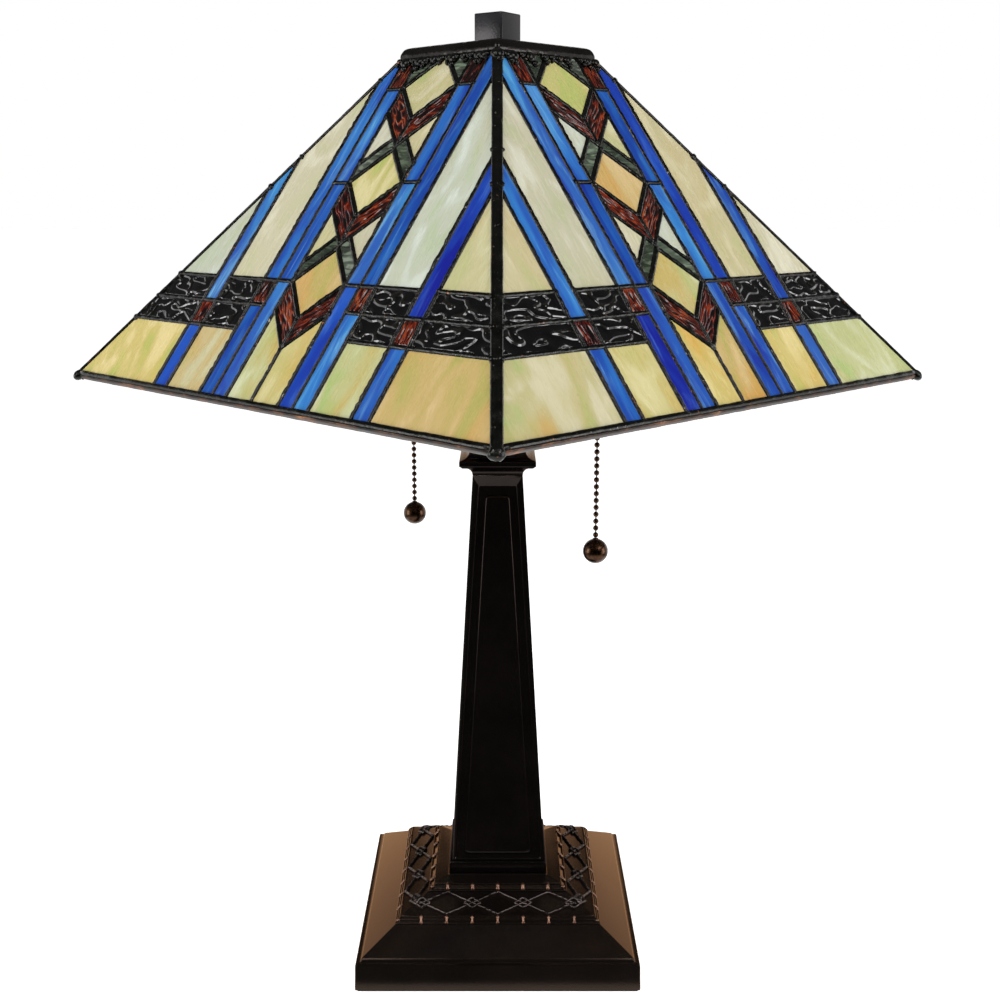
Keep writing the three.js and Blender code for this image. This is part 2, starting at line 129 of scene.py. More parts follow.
def add_world():
    """A pale backdrop. What the lamp reflects is a pale band beside and behind it, under a dark ceiling."""
    world = bpy.data.worlds.new("studio")
    bpy.context.scene.world = world
    world.use_nodes = True
    graph = Graph(world.node_tree)
    split = graph.add("SeparateXYZ", Vector=graph.add("TexCoord").outputs["Generated"])

    def spread(axis, start, end, low_value=0.0, high_value=1.0):
        ends = {"From_Min": start, "From_Max": end, "To_Min": low_value, "To_Max": high_value}
        return graph.add("MapRange", Value=split.outputs[axis], **ends).outputs[0]

    toward_back = spread("Y", -0.75, 0.3, 0.03, 1.35)
    toward_floor = spread("Z", -0.42, -0.55, 0.0, 2.0)
    strength = graph.maths("MAXIMUM", toward_back, toward_floor)
    band = graph.ramp(spread("Z", -1.0, 1.0), REFLECTED_BAND)
    reflected = graph.add("Background", Color=band, Strength=strength)
    backdrop = graph.add("Background", Color=(1, 1, 1, 1))
    seen = graph.add("MixShader")
    graph.plug(seen.inputs[0], graph.add("LightPath").outputs["Is Camera Ray"])
    graph.plug(seen.inputs[1], reflected.outputs[0])
    graph.plug(seen.inputs[2], backdrop.outputs[0])
    graph.plug(graph.nodes["World Output"].inputs["Surface"], seen.outputs[0])


def add_studio():
    bpy.context.scene.view_settings.view_transform = "Standard"
    add_world()
    add_area_light("key_left", (-1.05, -1.25, 1.75), (1.1, 1.1), 24)
    add_area_light("key_right", (1.15, -1.25, 1.75), (1.1, 1.1), 24)
    add_area_light("low_left", (-1.25, -0.35, 0.36), (0.5, 0.7), 8)
    add_area_light("low_right", (1.25, -0.35, 0.36), (0.5, 0.7), 8)

    mesh = bpy.data.meshes.new("floor")
    half = 20.0
    corners = [(x * half, y * half, 0) for x, y in ((-1, -1), (1, -1), (1, 1), (-1, 1))]
    mesh.from_pydata(corners, [], [(0, 1, 2, 3)])
    floor = add_object("floor", mesh)
    floor.data.materials.append(plain_floor())
    floor.visible_glossy = False


# ---- material building blocks

def colour(code):
    """A linear RGBA from an sRGB hex code such as 'd8c89a'."""
    parts = [int(code[i:i + 2], 16) / 255 for i in (0, 2, 4)]
    return [c / 12.92 if c <= 0.04045 else ((c + 0.055) / 1.055) ** 2.4 for c in parts] + [1]


class Graph:
    """Short calls for the nodes that a material or the world is built of."""

    def __init__(self, tree):
        self.nodes, self.links = tree.nodes, tree.links

    def plug(self, socket, value):
        """Links a node's output to the socket, or sets a constant on it."""
        if isinstance(value, bpy.types.NodeSocket):
            self.links.new(value, socket)
        else:
            socket.default_value = value

    def add(self, kind, settings=None, **inputs):
        node = self.nodes.new("ShaderNode" + kind)
        for name, value in (settings or {}).items():
            setattr(node, name, value)
        for name, value in inputs.items():
            self.plug(node.inputs[name.replace("_", " ")], value)
        return node

    def noise(self, vector, scale, detail=4, roughness=0.5, distortion=0.0):
        node = self.add("TexNoise", Vector=vector, Scale=scale, Detail=detail, Roughness=roughness,
                        Distortion=distortion)
        return node.outputs["Fac"]

    def ramp(self, value, stops, smooth=False):
        node = self.add("ValToRGB", Fac=value)
        node.color_ramp.interpolation = "EASE" if smooth else "LINEAR"
        elements = node.color_ramp.elements
        while len(elements) < len(stops):
            elements.new(0.5)
        for element, (position, shade) in zip(elements, stops):
            element.position = position
            element.color = colour(shade) if isinstance(shade, str) else [shade, shade, shade, 1]
        return node.outputs["Color"]

    def blend(self, factor, first, second, mode="MIX"):
        node = self.add("Mix", {"data_type": "RGBA", "blend_type": mode})
        for index, value in ((0, factor), (6, first), (7, second)):
            self.plug(node.inputs[index], value)
        return node.outputs[2]

    def maths(self, operation, first, second):
        node = self.add("Math", {"operation": operation})
        self.plug(node.inputs[0], first)
        self.plug(node.inputs[1], second)
        return node.outputs[0]


class Shader(Graph):
    """A Principled material."""

    def __init__(self, name, **constants):
        self.material = bpy.data.materials.new(name)
        self.material.use_nodes = True
        super().__init__(self.material.node_tree)
        self.body = self.nodes["Principled BSDF"]
        for socket, value in constants.items():
            self.plug(self.body.inputs[socket.replace("_", " ")], value)

    def attribute(self, name, output):
        return self.add("Attribute", {"attribute_name": name}).outputs[output]

    def coordinates(self):
        """Object coordinates in metres."""
        return self.add("TexCoord").outputs["Object"]

    def flow(self, along=1.0, across=1.0):
        """Metres up the slope and across it, times a scale, starting afresh on each piece of glass."""
        start = self.attribute("glass_flow", "Vector")
        return self.add("Mapping", Vector=start, Scale=(across, 1, along)).outputs[0]

    def drive(self, socket, value):
        self.links.new(value, self.body.inputs[socket])

    def paint(self, value, dark, light):
        """The base colour, between two shades as a noise goes through its middle range."""
        self.drive("Base Color", self.ramp(value, [(0.3, dark), (0.7, light)]))

    def roughen(self, value, least, most):
        self.drive("Roughness", self.ramp(value, [(0.3, least), (0.7, most)]))

    def bump(self, height, distance):
        """Bumps up to distance, in millimetres."""
        node = self.add("Bump", Height=height, Distance=distance * MM, Strength=1.0)
        self.links.new(node.outputs[0], self.body.inputs["Normal"])


# ---- materials

def plain_floor():
    s = Shader("pale_floor", Roughness=0.6, Emission_Color=(1, 1, 1, 1), Emission_Strength=0.85)
    s.paint(s.noise(s.coordinates(), 3.0, 2), "f6f6f6", "f8f8f8")
    return s.material


def glass_shader(name, gloss, coat):
    return Shader(name, IOR=1.5, Coat_Weight=coat, Coat_Roughness=0.06, Specular_IOR_Level=gloss)


def tinted(s, shade):
    """Multiplies a shade by the tint of each piece of glass and paints it on."""
    s.drive("Base Color", s.blend(1.0, shade, s.attribute("glass_tint", "Color"), "MULTIPLY"))


def opal_glass(name, shades, streak):
    """Opalescent glass: milky wisps along the slope, faint streaks of a second colour, a soft gloss."""
    dark, middle, pale, second = shades
    s = glass_shader(name, 0.4, 0.1)
    wisps = s.noise(s.flow(0.42), 38, 4, 0.45, 1.6)
    broad = s.noise(s.flow(0.5), 15, 3, 0.5, 0.8)
    fine = s.noise(s.flow(0.22), 260, 4, 0.65, 0.5)
    base = s.ramp(wisps, [(0.32, dark), (0.50, middle), (0.66, pale)], True)
    other = s.ramp(wisps, [(0.32, second), (0.66, middle)], True)
    mixed = s.blend(s.ramp(broad, [(0.44, 0.0), (0.64, streak)], True), base, other)
    milk = s.ramp(fine, [(0.50, 0.0), (0.80, 0.16)], True)
    tinted(s, s.blend(milk, mixed, colour(pale)))
    s.roughen(fine, 0.20, 0.34)
    s.bump(s.maths("ADD", fine, s.maths("MULTIPLY", wisps, 2.0)), 0.10)
    return s.material


def blue_glass():
    """Streaky blue glass, from deep royal to sky blue along each strip."""
    s = glass_shader("blue_glass", 0.4, 0.12)
    sweep = s.noise(s.flow(0.22), 38, 4, 0.55, 1.0)
    streaks = s.noise(s.flow(0.10), 190, 4, 0.6, 0.8)
    base = s.ramp(sweep, [(0.30, "2a3591"), (0.44, "315ba3"), (0.58, "3e7eb6"), (0.74, "60a5c8")], True)
    bright = s.ramp(streaks, [(0.50, 0.0), (0.74, 0.5)], True)
    tinted(s, s.blend(bright, base, colour("8fc4d5")))
    s.roughen(streaks, 0.16, 0.28)
    s.bump(streaks, 0.10)
    return s.material


def red_glass():
    """Red ripple glass: orange red on the ridges over deep oxblood troughs, set by the relief's height: a
    painted highlight on the ridges and painted shade in the troughs.
    """
    s = glass_shader("red_glass", 0.5, 0.1)
    height = s.attribute("relief", "Fac")
    patch = s.noise(s.flow(), 70, 3)
    # painted light: lighter orange red on the ridges is a painted highlight, near black in the troughs is
    # painted shade
    ridge = s.ramp(height, [(0.20, "070202"), (0.50, "310805"), (0.74, "56190d"), (0.96, "8b4421")], True)
    deep = s.ramp(height, [(0.20, "050202"), (0.55, "1e0705"), (0.96, "562015")], True)
    tinted(s, s.blend(s.ramp(patch, [(0.42, 0.0), (0.60, 1.0)], True), ridge, deep))
    s.roughen(patch, 0.14, 0.22)
    s.bump(s.noise(s.coordinates(), 900, 2), 0.03)
    return s.material


def green_glass():
    """Grey green glass with dark and pale striations across it."""
    s = glass_shader("green_glass", 0.5, 0.1)
    bands = s.noise(s.flow(across=0.22), 330, 2, 0.55, 1.2)
    broad = s.noise(s.flow(), 70, 3)
    base = s.ramp(bands, [(0.38, "22251f"), (0.50, "40463c"), (0.64, "848e7d")], True)
    other = s.ramp(broad, [(0.35, "2e342b"), (0.70, "6a7367")], True)
    tinted(s, s.blend(0.4, base, other))
    s.roughen(broad, 0.14, 0.24)
    s.bump(bands, 0.35)
    return s.material


def black_glass():
    """Black ripple glass: thin rounded ridges that wind between glossy hollows, made in the mesh, with the
    ridges painted a little lighter as a painted highlight.
    """
    s = glass_shader("black_glass", 0.5, 0.4)
    fine = s.noise(s.coordinates(), 500, 3)
    # painted highlight: the ridges of the relief are painted a little lighter than the hollows
    s.drive("Base Color", s.ramp(s.attribute("relief", "Fac"), [(0.2, "040404"), (0.9, "14120e")]))
    s.roughen(fine, 0.07, 0.14)
    s.bump(fine, 0.03)
    return s.material


def solder():
    """Lead and solder with a black patina, with small spots of bright grey and copper on the bumps: partly
    rubbed metal, partly painted glints.
    """
    s = Shader("black_patina", Metallic=0.6, IOR=1.5)
    where = s.coordinates()
    mottle = s.noise(where, 160, 4, 0.6)
    spots = s.noise(where, 520, 3, 0.6)
    base = s.ramp(mottle, [(0.35, "080807"), (0.58, "11110e"), (0.74, "22221e")])
    # small bright grey and copper spots: partly rubbed metal, partly painted glints
    bright = s.ramp(spots, [(0.64, 0.0), (0.74, 0.6)])
    rubbed_metal_and_glint_shade = s.ramp(s.noise(where, 45, 2), [(0.48, "8d8b80"), (0.56, "a8683c")])
    s.drive("Base Color", s.blend(bright, base, rubbed_metal_and_glint_shade))
    s.roughen(mottle, 0.13, 0.30)
    s.bump(s.maths("ADD", spots, mottle), 0.22)
    return s.material


def copper_edge():
    """Bare copper wire along the very edge of the rim, mostly dulled by the patina, with patches of bright
    copper that are painted glints.
    """
    s = Shader("rubbed_copper_and_glints", Metallic=0.8, IOR=1.5)
    mottle = s.noise(s.coordinates(), 90, 4, 0.6)
    # the brightest copper shade, in patches, is a painted glint; the darker shades are the wire's copper and
    # patina
    shades = [(0.36, "120e0b"), (0.52, "33251c"), (0.64, "684834"), (0.76, "c48a5c")]
    s.drive("Base Color", s.ramp(mottle, shades))
    s.roughen(mottle, 0.34, 0.5)
    s.bump(mottle, 0.15)
    return s.material


def cast_bronze(name, shades, metallic, rough, grain=0.04, grain_scale=900):
    """Oil rubbed bronze: a dark cloud over metal that takes the third shade where light grazes it."""
    dark, light, grazing = shades
    s = Shader(name, Metallic=metallic, IOR=1.5, Specular_Tint=colour(grazing))
    where = s.coordinates()
    cloud = s.noise(where, 28, 5, 0.6)
    s.drive("Base Color", s.ramp(cloud, [(0.32, dark), (0.70, light)]))
    s.roughen(cloud, rough * 0.85, rough * 1.2)
    s.bump(s.noise(where, grain_scale, 2, 0.5), grain)
    return s.material


def metal(name, shades, rough):
    """Plain metal hardware with a faint brushed grain."""
    s = Shader(name, Metallic=1.0, IOR=1.5)
    brushed = s.noise(s.coordinates(), 500, 3)
    s.paint(brushed, *shades)
    s.roughen(brushed, rough * 0.8, rough * 1.25)
    s.bump(brushed, 0.03)
    return s.material


def felt_cloth():
    s = Shader("dark_felt", Roughness=0.95, Sheen_Weight=0.4)
    fibres = s.noise(s.coordinates(), 1800, 5, 0.7)
    s.paint(fibres, "1c1d19", "34352f")
    s.bump(fibres, 0.3)
    return s.material


def frosted_bulb():
    s = Shader("frosted_bulb", IOR=1.5, Subsurface_Weight=0.3, Subsurface_Scale=0.004)
    haze = s.noise(s.coordinates(), 90, 3)
    s.paint(haze, "efece4", "f8f6f0")
    s.roughen(haze, 0.30, 0.42)
    return s.material


def moulded(name, shades, rough):
    s = Shader(name, IOR=1.48)
    speckle = s.noise(s.coordinates(), 1100, 3)
    s.paint(speckle, *shades)
    s.roughen(speckle, rough * 0.9, rough * 1.1)
    s.bump(speckle, 0.05)
    return s.material


# dark shade, light shade, shade where light grazes it, metallic, roughness, grain in millimetres, grain scale
BRONZES = {
    "dark_bronze": (("1f1b19", "27211e", "ffcea4"), 0.75, 0.19),
    "worn_bronze": (("262120", "4c4442", "d8ccc4"), 0.85, 0.13),
    "stem_bronze": (("1f1b1a", "292422", "aa9480"), 0.9, 0.17, 0.02),
    "copper_rub": (("4e3a30", "74584a", "f0d8c4"), 0.85, 0.24),
    "cap_bronze": (("121110", "242120", "c8c4c0"), 0.6, 0.19, 0.9, 130),
    "finial_bronze": (("161517", "262528", "d0ccc8"), 0.5, 0.22, 0.05),
}
MATERIALS = {
    **{name: cast_bronze(name, *settings) for name, settings in BRONZES.items()},
    "chain_bronze": metal("chain_bronze", ("2c1f17", "4a3426"), 0.26),
    "dark_patina": solder(),
    "copper_edge": copper_edge(),
    "brass": metal("brass", ("a98145", "c9a05c"), 0.28),
    "steel": metal("zinc_plate", ("8f9190", "b3b4b2"), 0.32),
    "cast_iron": metal("cast_iron", ("28282a", "3c3c3f"), 0.7),
    "felt": felt_cloth(),
    "black_plastic": moulded("black_phenolic", ("0b0b0b", "161616"), 0.45),
    "insulator": moulded("insulating_fibre", ("b9ac90", "cfc3a8"), 0.85),
    "bulb_white": frosted_bulb(),
    "glass_cream": opal_glass("cream_glass", ("b0b698", "b8b8a4", "c8cabc", "beae90"), 0.6),
    "glass_amber": opal_glass("amber_glass", ("a6b27a", "b8b48c", "cac6ae", "c89c62"), 0.7),
    "glass_blue": blue_glass(),
    "glass_red": red_glass(),
    "glass_green": green_glass(),
    "glass_black": black_glass(),
}


# ---- mesh building blocks

class Build:
    """Vertices and faces gathered for one piece, in the row frame, in metres."""

    def __init__(self):
        self.vertices, self.faces, self.slots, self.values = [], [], [], {}

    def ring_surface(self, rings, closed_ends=True, slot=0):
        """Bridges rings of equally many points, and caps both ends."""
        start, count = len(self.vertices), len(rings[0])
        for ring in rings:
            self.vertices.extend(ring)
        for r in range(len(rings) - 1):
            for i in range(count):
                j = (i + 1) % count
                a = start + r * count
                self.add_face((a + i, a + j, a + count + j, a + count + i), slot)
        if closed_ends:
            last = start + (len(rings) - 1) * count
            self.add_face(tuple(range(start + count - 1, start - 1, -1)), slot)
            self.add_face(tuple(range(last, last + count)), slot)

    def add_face(self, indices, slot=0):
        self.faces.append(indices)
        self.slots.append(slot)

    def make(self, name, materials, body, replaced=(), slot=None):
        """One visible piece: rides on body and takes the place of the replaced CAD nodes."""
        mesh = bpy.data.meshes.new(name)
        mesh.from_pydata([tuple(v) for v in self.vertices], [], self.faces)
        for material in materials:
            mesh.materials.append(MATERIALS[material])
        mesh.polygons.foreach_set("material_index", self.slots)
        mesh.polygons.foreach_set("use_smooth", [True] * len(self.faces))
        for key, (kind, values) in self.values.items():
            attribute = mesh.attributes.new(key, kind, "POINT")
            field = {"FLOAT": "value", "FLOAT_VECTOR": "vector", "FLOAT_COLOR": "color"}[kind]
            attribute.data.foreach_set(field, values)
        mesh.update()
        piece = add_object(name, mesh)
        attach(piece, body)
        if replaced:
            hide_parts(*replaced)
        return piece


def finish_edges(piece, width=0.0, angle=30):
    """Rounds the sharp edges of a piece and shades its gentle ones smooth."""
    if width:
        bevel = piece.modifiers.new("rounded_edges", "BEVEL")
        bevel.width = width
        bevel.segments = 2
        bevel.limit_method = "ANGLE"
        bevel.angle_limit = radians(angle)
    bpy.context.view_layer.objects.active = piece
    piece.select_set(True)
    bpy.ops.object.shade_smooth_by_angle(angle=radians(angle))
    piece.select_set(False)


def lathe(profile, centre, sides=56):
    """Turns (radius, z) points in millimetres round a vertical axis at centre, in metres."""
    smallest_radius = 0.005
    build = Build()
    turns = around(sides)
    rings = []
    for radius, z in profile:
        reach = max(radius, smallest_radius) * MM
        ring = [(centre[0] + reach * cos(a), centre[1] + reach * sin(a), z * MM) for a in turns]
        rings.append(ring)
    build.ring_surface(rings, closed_ends=profile[0] != profile[-1])
    return build


def rounded_corners(points, radius, steps=4, closed=False):
    """The same path with each inner corner cut back by up to radius and rounded."""
    count, path = len(points), []
    for i, (x, y) in enumerate(points):
        if not closed and i in (0, count - 1):
            path.append((x, y))
            continue
        here = Vector((x, y))
        before, after = Vector(points[i - 1]), Vector(points[(i + 1) % count])
        reach = min(radius, 0.45 * (before - here).length, 0.45 * (after - here).length)
        start = here + (before - here).normalized() * reach
        end = here + (after - here).normalized() * reach
        for step in range(steps + 1):
            t = step / steps
            path.append(tuple((1 - t) ** 2 * start + 2 * t * (1 - t) * here + t * t * end))
    return path


def square_ring(half, z, corner, turn=0.0, steps=4):
    """A square outline with round corners, in metres, from sizes in millimetres."""
    corner = min(corner, 0.4 * half)
    points = []
    for side in range(4):
        for step in range(steps + 1):
            angle = radians(90 * side) + pi / 2 * step / steps
            middle = radians(90 * side + 45)
            x = (half - corner) * sqrt(2) * cos(middle) + corner * cos(angle)
            y = (half - corner) * sqrt(2) * sin(middle) + corner * sin(angle)
            points.append(Matrix.Rotation(radians(turn), 3, "Z") @ Vector((x * MM, y * MM, z * MM)))
    return points


def square_loft(profile, corner, turn=0.0, closed_ends=True):
    """Stacks square outlines from (half width, z) points in millimetres."""
    build = Build()
    build.ring_surface([square_ring(half, z, corner, turn) for half, z in profile], closed_ends)
    return build


def bar(build, place, start, end, half_width, half_height, depth=0.0, wobble=0.0, seed=0.0,
        step=2.2, sides=10, flat=1.0, slot=0):
    """A rounded bar between two points of a face. place turns (u, v, w) in millimetres into the row frame."""
    start, end = Vector(start), Vector(end)
    run = end - start
    length = run.length
    along = run / length
    across = Vector((-along.y, along.x))
    count = max(3, ceil((length + 2 * half_width) / step))
    rings = []
    for i in range(count + 1):
        share = i / count
        distance = -half_width * 0.8 + share * (length + 1.6 * half_width)
        centre = start + along * distance
        taper = min(1.0, 0.25 + 1.1 * min(share, 1 - share) * count * step / (2 * half_width))
        bulge = wave(centre.x * 0.28, centre.y * 0.28, seed)
        swell = wave(centre.x * 0.55, centre.y * 0.55, seed + 7)
        width = half_width * taper * (1 + wobble * bulge)
        height = half_height * taper * (1 + 1.6 * wobble * swell)
        ring = []
        for angle in around(sides):
            side, rise = cos(angle), sin(angle)
            side = copysign(abs(side) ** flat, side)
            point = centre + across * (width * side)
            ring.append(place(point.x, point.y, depth + height * rise))
        rings.append(ring)
    build.ring_surface(rings, slot=slot)


def blob(build, place, centre, radius, height, depth=0.0, seed=0.0, sides=10, levels=5):
    """A soft lump with its middle at centre on a face."""
    rings = []
    for level in range(1, levels):
        tilt = pi * level / levels - pi / 2
        ring = []
        for angle in around(sides):
            lump = wave(cos(angle) * 1.3, sin(angle) * 1.3, seed + centre[0] * 0.37)
            reach = radius * cos(tilt) * (1 + 0.22 * lump)
            s, t = centre[0] + reach * cos(angle), centre[1] + reach * sin(angle)
            ring.append(place(s, t, depth + height * sin(tilt)))
        rings.append(ring)
    build.ring_surface(rings)


def slope_place(turn, radius, foot_z, run, rise):
    """A function from (across, up the slope, outward) in millimetres to the row frame.

    The slope faces turn degrees round from +X and leans in by run over rise, from its foot at radius, foot_z.
    """
    angle = radians(turn)
    radial = Vector((cos(angle), sin(angle), 0))
    across = Vector((-sin(angle), cos(angle), 0))
    length = hypot(run, rise)
    up = (radial * -run + Vector((0, 0, rise))) / length
    out = (radial * rise + Vector((0, 0, run))) / length
    origin = radial * radius + Vector((0, 0, foot_z))
    return lambda s, t, w: origin + (across * s + up * t + out * w) * MM


# ---- the leaded panels

RIM_HALF_MM = RIM_HALF / MM
SLANT_MM = SLANT / MM
HIP_RUN = SHADE_RUN * sqrt(2)
HIP_LENGTH_MM = hypot(SHADE_RISE, HIP_RUN) / MM
TAPER = SHADE_RUN / SLANT
PANELS = {"right_back": 45, "left_back": 135, "left_front": 225, "right_front": 315}
# Each hip's direction and the half width of its strip
HIPS = {"right": (0, 1.5), "back": (90, 2.85), "left": (180, 1.5), "front": (270, 2.85)}
HIP_OVERLAP = 0.4
GLASS_THICKNESS = 3.0
# Where the upright and the level leads lie on a panel
COLUMNS = (22.5, 34.8, 47.3, 80.0, 93.0)
ROWS = (43.0, 59.0, 75.0)
DIAMOND_PITCH = 64.8
DIAMONDS = tuple(ROWS[2] + i * DIAMOND_PITCH for i in range(3))
DIAMOND_HALF = 22.0
CHEVRON_DROP = 18.5
ROOF_RISE = 12.5
LEAD = 1.35
NARROW_LEAD = 0.95
DIAMOND_LEAD = 1.7
RIM_COVER = 2.6
SHORTEST_EDGE = 0.4
FACE_MIDDLE = -GLASS_THICKNESS / 2


def panel_place(turn):
    return slope_place(turn, RIM_HALF, RIM_Z, SHADE_RUN, SHADE_RISE)


def hip_place(turn):
    return slope_place(turn, RIM_HALF_DIAGONAL, RIM_Z, HIP_RUN, SHADE_RISE)


# Each bound is (a, b, d) and keeps the glass where a * u + b * v <= d

def left_of(u, lead=LEAD):
    return (1, 0, u - lead)


def right_of(u, lead=LEAD):
    return (-1, 0, -u - lead)


DIAGONAL = sqrt(0.5)


def slanted(rising, above, v, lead=LEAD):
    """The bound on one side of a 45 degree lead that crosses the centreline at v."""
    sign = 1 if above else -1
    a = DIAGONAL if rising else -DIAGONAL
    return (sign * a, -sign * DIAGONAL, -sign * v * DIAGONAL - lead)


def clip(points, bound):
    """The part of a convex outline on the inner side of a bound."""
    a, b, d = bound
    depth = [a * u + b * v - d for u, v in points]
    kept = []
    for i, (u, v) in enumerate(points):
        j = (i + 1) % len(points)
        if depth[i] <= 0:
            kept.append((u, v))
        if (depth[i] > 0) != (depth[j] > 0):
            share = depth[i] / (depth[i] - depth[j])
            kept.append((u + share * (points[j][0] - u), v + share * (points[j][1] - v)))
    return kept


def panel_pieces(covers):
    """Every piece of glass of one panel as (kind, outline). covers holds what the two hips hide of it."""
    a, b, c, d, e = COLUMNS
    low_row, middle_row, high_row = ROWS
    below, far = -9, SLANT_MM + 20
    cells = []

    def column(bounds, stops, kinds):
        for kind, start, end in zip(kinds, stops, stops[1:]):
            cells.append((kind, [*bounds, (0, -1, -start - LEAD), (0, 1, end - LEAD)]))

    column([right_of(a), left_of(b, NARROW_LEAD)], [below, *DIAMONDS, far], ["blue", "blue", "blue", "red"])
    strip = [right_of(b, NARROW_LEAD), left_of(c)]
    column(strip, [below, middle_row, high_row, far], ["blue", "red", "blue"])
    column([right_of(c), left_of(d)], [below, *ROWS, far], ["amber", "black", "black", "cream"])
    column([right_of(d), left_of(e)], [below, low_row, middle_row, far], ["blue", "red", "blue"])
    column([right_of(e)], [below, *ROWS, far], ["amber", "black", "black", "cream"])

    strip = [right_of(0), left_of(a)]
    tips = [centre - DIAMOND_HALF - CHEVRON_DROP for centre in DIAMONDS]
    cells.append(("amber", [*strip, slanted(True, False, tips[0])]))
    for i, centre in enumerate(DIAMONDS):
        foot = centre - DIAMOND_HALF
        head = centre + DIAMOND_HALF
        chevron = slanted(True, True, tips[i]), slanted(True, False, foot, DIAMOND_LEAD)
        cells.append(("red", [*strip, *chevron]))
        roof = [*strip, slanted(False, True, head, DIAMOND_LEAD)]
        if centre == DIAMONDS[-1]:
            cells.append(("green", roof))
            continue
        eaves = head + ROOF_RISE
        next_tip = slanted(True, False, tips[i + 1])
        cells.append(("green", [*roof, slanted(False, False, eaves), next_tip]))
        cells.append(("cream", [left_of(a), slanted(False, True, eaves), next_tip]))

    mirrored = [(kind, [(-p, q, r) for p, q, r in bounds]) for kind, bounds in cells]
    whole = [("amber", diamond_bounds(centre)) for centre in DIAMONDS]
    pieces = [(kind, clipped(bounds, covers)) for kind, bounds in cells + mirrored + whole]
    return [(kind, outline) for kind, outline in pieces if len(outline) > 2]


def diamond_bounds(centre):
    ends = (False, centre + DIAMOND_HALF), (True, centre - DIAMOND_HALF)
    return [slanted(rising, above, v, DIAMOND_LEAD) for above, v in ends for rising in (True, False)]


def clipped(bounds, covers):
    """A piece's outline: the whole panel cut by the piece's bounds, without its shortest edges."""
    hip = hypot(1, TAPER)
    sides = [(sign / hip, TAPER / hip, RIM_HALF_MM / hip - cover) for sign, cover in zip((-1, 1), covers)]
    frame_bounds = [*sides, (0, -1, -RIM_COVER), (0, 1, SLANT_MM + 1.0)]
    wide = 2 * RIM_HALF_MM
    outline = [(-wide, -wide), (wide, -wide), (wide, 2 * wide), (-wide, 2 * wide)]
    for bound in [*bounds, *frame_bounds]:
        outline = clip(outline, bound)
        if len(outline) < 3:
            return []
    return [p for p, q in edges_of(outline) if dist(p, q) > SHORTEST_EDGE]


def ripple(u, v, kind, seed):
    """Relief of a piece's outer face at (u, v), in millimetres, and how far up its pattern it is, 0 to 1. The
    red and black glass paint their ridges lighter by that second value, as a painted highlight.
    """
    if kind == "black":
        drift = 2.4 * wave(u * 0.10, v * 0.10, seed + 9)
        field = wave(u * 0.10, (v + drift) * 0.21, seed)
        ridge = max(0.0, 1 - abs(field) / 0.17)
        return 0.62 * ridge * ridge * (3 - 2 * ridge) + 0.7 * field, ridge
    if kind == "red":
        field = wave(u * 0.60, v * 0.11, seed + 5)
        ridge = 1 - min(1.0, abs(field) / 0.42)
        return 0.5 * ridge, 0.25 + 0.75 * ridge
    if kind == "green":
        return 0.16 * wave(u * 0.5, v * 0.12, seed), 0.5
    return 0.10 * wave(u * 0.07, v * 0.05, seed), 0.5


def edges_of(outline):
    """The outline's edges as pairs of points, with the closing one last."""
    return zip(outline, outline[1:] + outline[:1])


def ripple_frame(outline, kind):
    """The direction that a red piece's ridges run in: along its longest edge."""
    if kind != "red":
        return 1.0, 0.0
    _, p, q = max((dist(p, q), p, q) for p, q in edges_of(outline))
    run = Vector((q[0] - p[0], q[1] - p[1])).normalized()
    return run.y, -run.x


# How far apart, in millimetres, the points of each kind's outer face lie
SPACING = {"black": 0.6, "red": 0.55, "green": 2.0, "blue": 5.0, "amber": 6.0, "cream": 8.0}
# Sheets of each kind of glass. The pieces of a kind take them in turn, panel after panel
TINTS = {
    "cream": ("fff8ec", "f2f8fa", "f8f0d0", "f4f0e8", "f8ecd0"),
    "amber": ("f6f0cc", "f0ece0", "fff0c0", "ecf4e0", "f6dcb8"),
    "blue": ("a4bce8", "c8e0f8", "8cacdc", "b8ccf0", "8c98e4", "e8f4fc"),
    "red": ("ffffff", "ffe0c8", "e8c8c0", "fff0e0", "d8a8a0"),
    "green": ("ffffff", "c8d0c4", "f4fcf4", "b0b8b0"),
    "black": ("ffffff",),
}


def glass_piece(build, place, kind, outline, seed, tint_code):
    """One piece: rings that shrink to its middle over its relief, then its edges and its flat back."""
    centre = Vector((sum(p[0] for p in outline), sum(p[1] for p in outline))) / len(outline)
    spacing = SPACING[kind]
    edge = []
    for p, q in edges_of(outline):
        count = max(1, round(dist(p, q) / spacing))
        edge += [Vector(p).lerp(Vector(q), i / count) for i in range(count)]
    rows = max(2, round(max((p - centre).length for p in edge) / spacing))
    turn = ripple_frame(outline, kind)
    flow, tint, relief = (build.values[key][1] for key in ("glass_flow", "glass_tint", "relief"))
    shade = colour(tint_code)
    count = len(edge)
    start = len(build.vertices)

    def add(point, height, level=0.5):
        build.vertices.append(place(point.x, point.y, height))
        flow.extend(((point.x + seed * 31) * MM, seed * 0.013, (point.y + seed * 17) * MM))
        tint.extend(shade)
        relief.append(level)

    def add_relief(point, share):
        across = turn[0] * point.x + turn[1] * point.y
        along = turn[0] * point.y - turn[1] * point.x
        height, level = ripple(across, along, kind, seed)
        add(point, height * share, level)

    for row in range(rows):
        for p in edge:
            add_relief(centre.lerp(p, 1 - row / rows), 0.3 if row == 0 else 1.0)
    add_relief(centre, 1.0)
    top = len(build.vertices) - 1
    for height in (0.0, -GLASS_THICKNESS, -GLASS_THICKNESS):
        for p in edge:
            add(p, height)

    def join_rings(lower, upper):
        for i in range(count):
            j = (i + 1) % count
            build.add_face((lower + i, lower + j, upper + j, upper + i))

    for row in range(rows - 1):
        join_rings(start + row * count, start + (row + 1) * count)
    inner = start + (rows - 1) * count
    for i in range(count):
        build.add_face((inner + i, inner + (i + 1) % count, top))
    join_rings(top + 1 + count, top + 1)
    back = top + 1 + 2 * count
    build.add_face(tuple(range(back + count - 1, back - 1, -1)))


